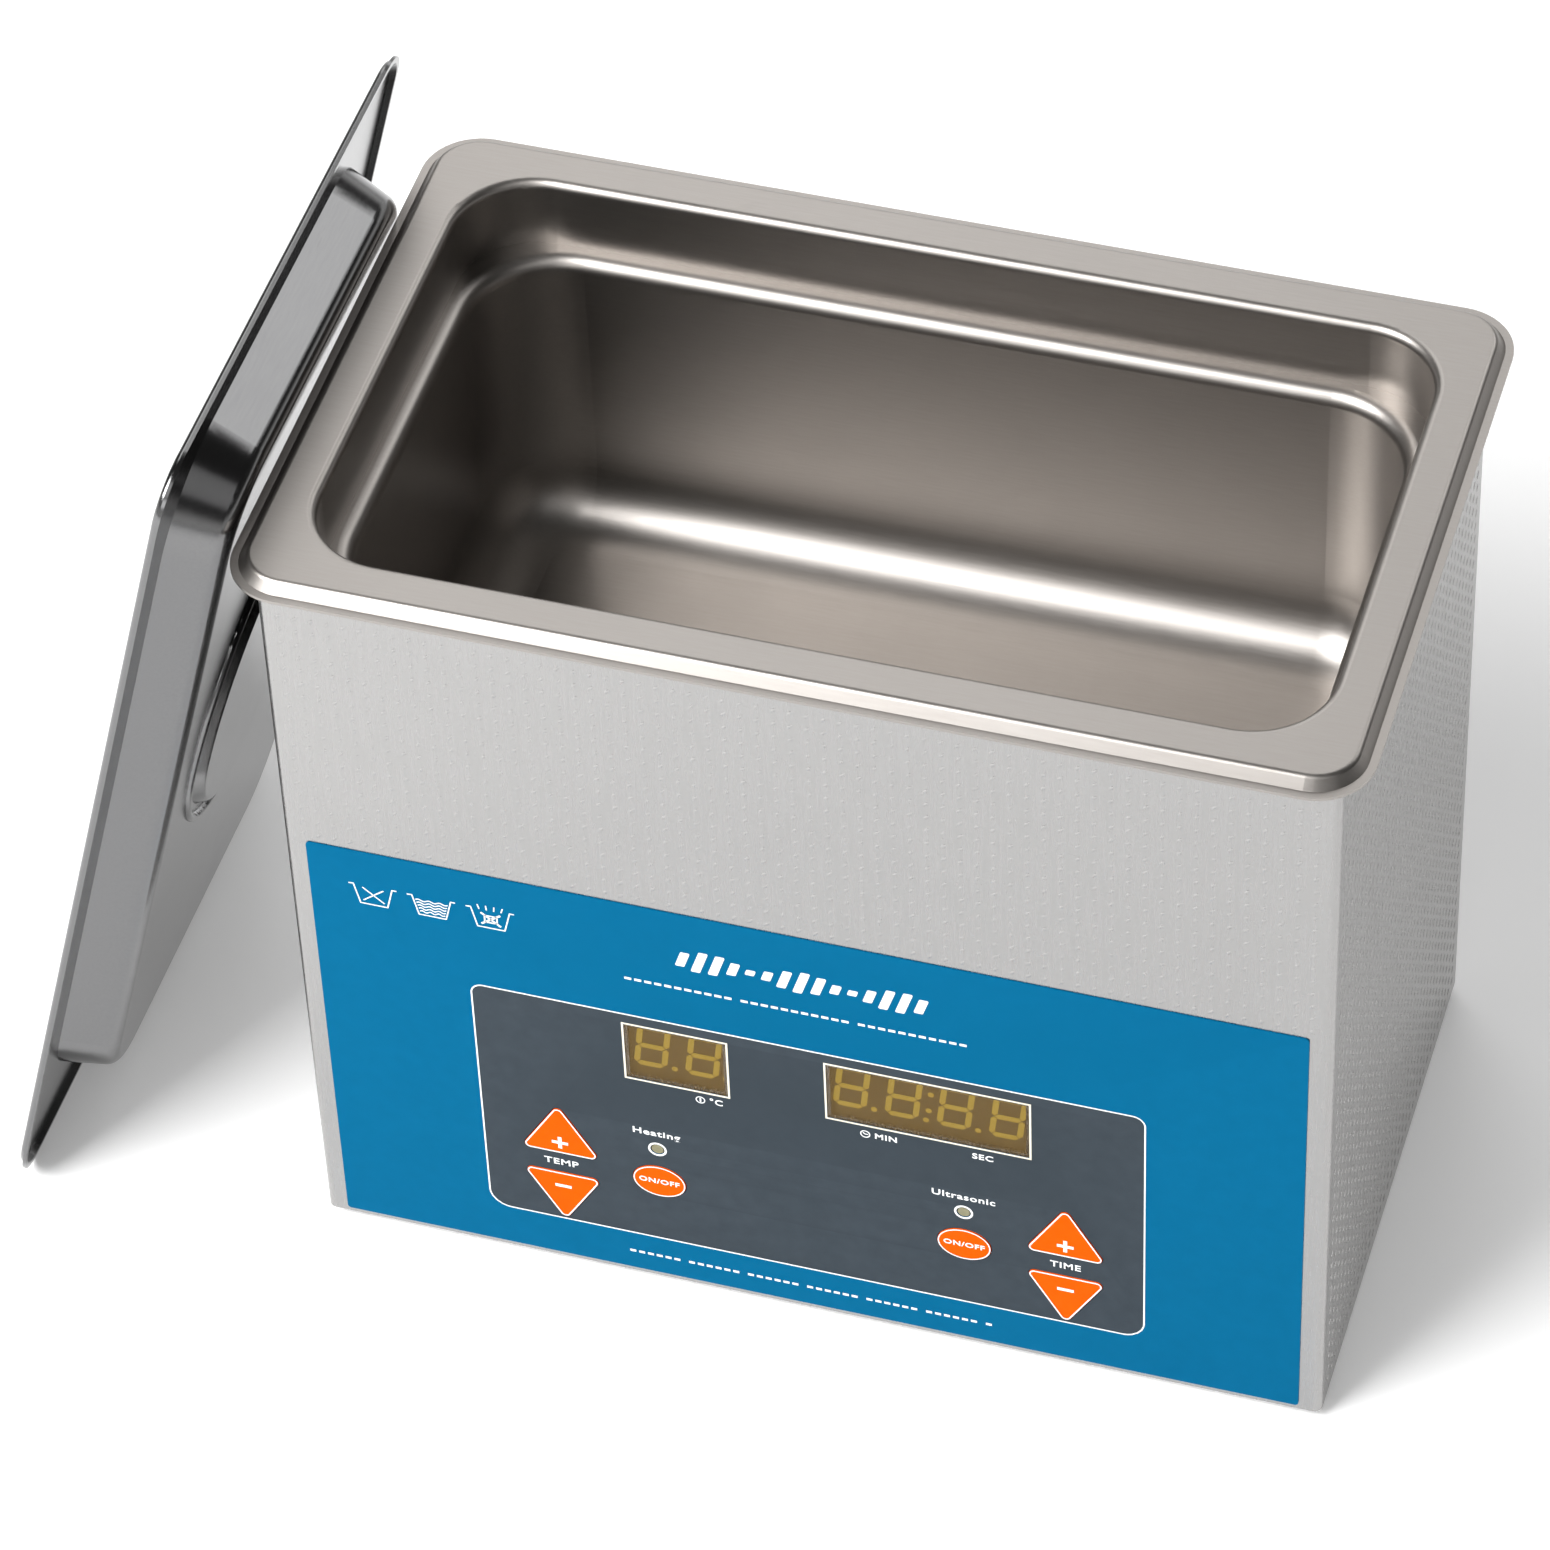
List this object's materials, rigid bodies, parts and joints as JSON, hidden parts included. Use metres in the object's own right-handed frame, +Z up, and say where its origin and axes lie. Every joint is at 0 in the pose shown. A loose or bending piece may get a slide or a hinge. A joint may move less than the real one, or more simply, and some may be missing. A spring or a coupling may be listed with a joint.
{
  "type": "ultrasonic cleaner",
  "caption": "Bench-top heated ultrasonic cleaner: stepped drawn basin in a patterned steel housing, with a printed keypad front and a loose lid leaning on its end.",
  "frame": {"origin": "on the bench, under the middle of the whole outline: the unit with its lid leaning on it. The housing's centre is at x 0.0351, y 0.0028", "axes": "+X to the unit's right, +Y to its back, +Z up; the keypad front faces -Y"},
  "size_m": [0.337, 0.1676, 0.2571],
  "materials": {
    "patterned_steel": "raised dash pattern, satin",
    "drawn_steel": "satin, drawn",
    "lid_steel": "semi-bright, drawn",
    "plate_steel": "mill",
    "fastener_steel": "zinc plated",
    "black_rubber": "matt",
    "printed_blue": "printed film, satin",
    "key_orange": "printed film, satin",
    "tinted_window": "tinted film",
    "display_face": "matt",
    "amber_segment": "diffusing",
    "lamp_lens": "diffusing",
    "board_green": "solder mask",
    "chip_black": "matt",
    "switch_cap": "matt",
    "core_iron": "laminated",
    "coil_tape": "wrapped tape",
    "choke_green": "coated",
    "can_sleeve": "shrink sleeve",
    "sink_aluminium": "extruded",
    "relay_blue": "moulded",
    "mass_aluminium": "turned",
    "piezo_ceramic": "fired",
    "electrode_brass": "rolled",
    "mass_steel": "turned",
    "bolt_black": "black oxide",
    "heater_silicone": "moulded",
    "sensor_metal": "drawn",
    "inlet_black": "moulded",
    "pin_brass": "plated",
    "rocker_black": "moulded",
    "lead_sleeve": "extruded"
  },
  "bodies": {
    "unit": {"housing_shell": "patterned_steel", "tank": "drawn_steel", "tank_gasket": "black_rubber", "bottom_plate": "plate_steel", "plate_screws": "fastener_steel", "feet": "black_rubber", "foot_screws": "fastener_steel", "foot_nuts": "fastener_steel", "front_overlay": "printed_blue", "display_windows": "tinted_window", "display_temp": "display_face", "display_time": "display_face", "digits_temp": "amber_segment", "digits_time": "amber_segment", "led_heating": "lamp_lens", "led_ultrasonic": "lamp_lens", "control_board": "board_green", "board_chips": "chip_black", "tact_switches": "switch_cap", "board_standoffs": "fastener_steel", "board_screws": "fastener_steel", "driver_board": "board_green", "driver_standoffs": "fastener_steel", "driver_screws": "fastener_steel", "transformer_core": "core_iron", "transformer_coil": "coil_tape", "choke": "choke_green", "capacitors": "can_sleeve", "heatsink": "sink_aluminium", "transistors": "chip_black", "relays": "relay_blue", "front_masses": "mass_aluminium", "piezo_rings": "piezo_ceramic", "electrodes": "electrode_brass", "back_masses": "mass_steel", "stack_bolts": "bolt_black", "heater_pads": "heater_silicone", "thermostat": "sensor_metal", "temp_sensor": "sensor_metal", "inlet_shell": "inlet_black", "inlet_pins": "pin_brass", "inlet_screws": "fastener_steel", "switch_frame": "inlet_black", "wiring": "lead_sleeve"},
    "lid": {"lid_pan": "lid_steel", "lid_handle": "lid_steel"},
    "rocker": {"switch_rocker": "rocker_black"},
    "temp_up_key": {"temp_up": "key_orange"},
    "temp_down_key": {"temp_down": "key_orange"},
    "time_up_key": {"time_up": "key_orange"},
    "time_down_key": {"time_down": "key_orange"},
    "heating_key": {"heating_key": "key_orange"},
    "ultrasonic_key": {"ultrasonic_key": "key_orange"}
  },
  "joints": [
    {"name": "lid_lift", "type": "slide", "parent": "unit", "child": "lid", "axis": [0, 0, 1], "range_m": [0, 0.26]},
    {"name": "rocker_turn", "type": "hinge", "parent": "unit", "child": "rocker", "pos_m": [0.054, 0.0748, 0.042], "axis": [1, 0, 0], "range_deg": [-18, 0]},
    {"name": "temp_up_press", "type": "slide", "parent": "unit", "child": "temp_up_key", "axis": [0, 1, 0], "range_m": [0, 0.00045], "stiffness_N_per_m": 2000},
    {"name": "temp_down_press", "type": "slide", "parent": "unit", "child": "temp_down_key", "axis": [0, 1, 0], "range_m": [0, 0.00045], "stiffness_N_per_m": 2000},
    {"name": "time_up_press", "type": "slide", "parent": "unit", "child": "time_up_key", "axis": [0, 1, 0], "range_m": [0, 0.00045], "stiffness_N_per_m": 2000},
    {"name": "time_down_press", "type": "slide", "parent": "unit", "child": "time_down_key", "axis": [0, 1, 0], "range_m": [0, 0.00045], "stiffness_N_per_m": 2000},
    {"name": "heating_press", "type": "slide", "parent": "unit", "child": "heating_key", "axis": [0, 1, 0], "range_m": [0, 0.00045], "stiffness_N_per_m": 2000},
    {"name": "ultrasonic_press", "type": "slide", "parent": "unit", "child": "ultrasonic_key", "axis": [0, 1, 0], "range_m": [0, 0.00045], "stiffness_N_per_m": 2000}
  ]
}
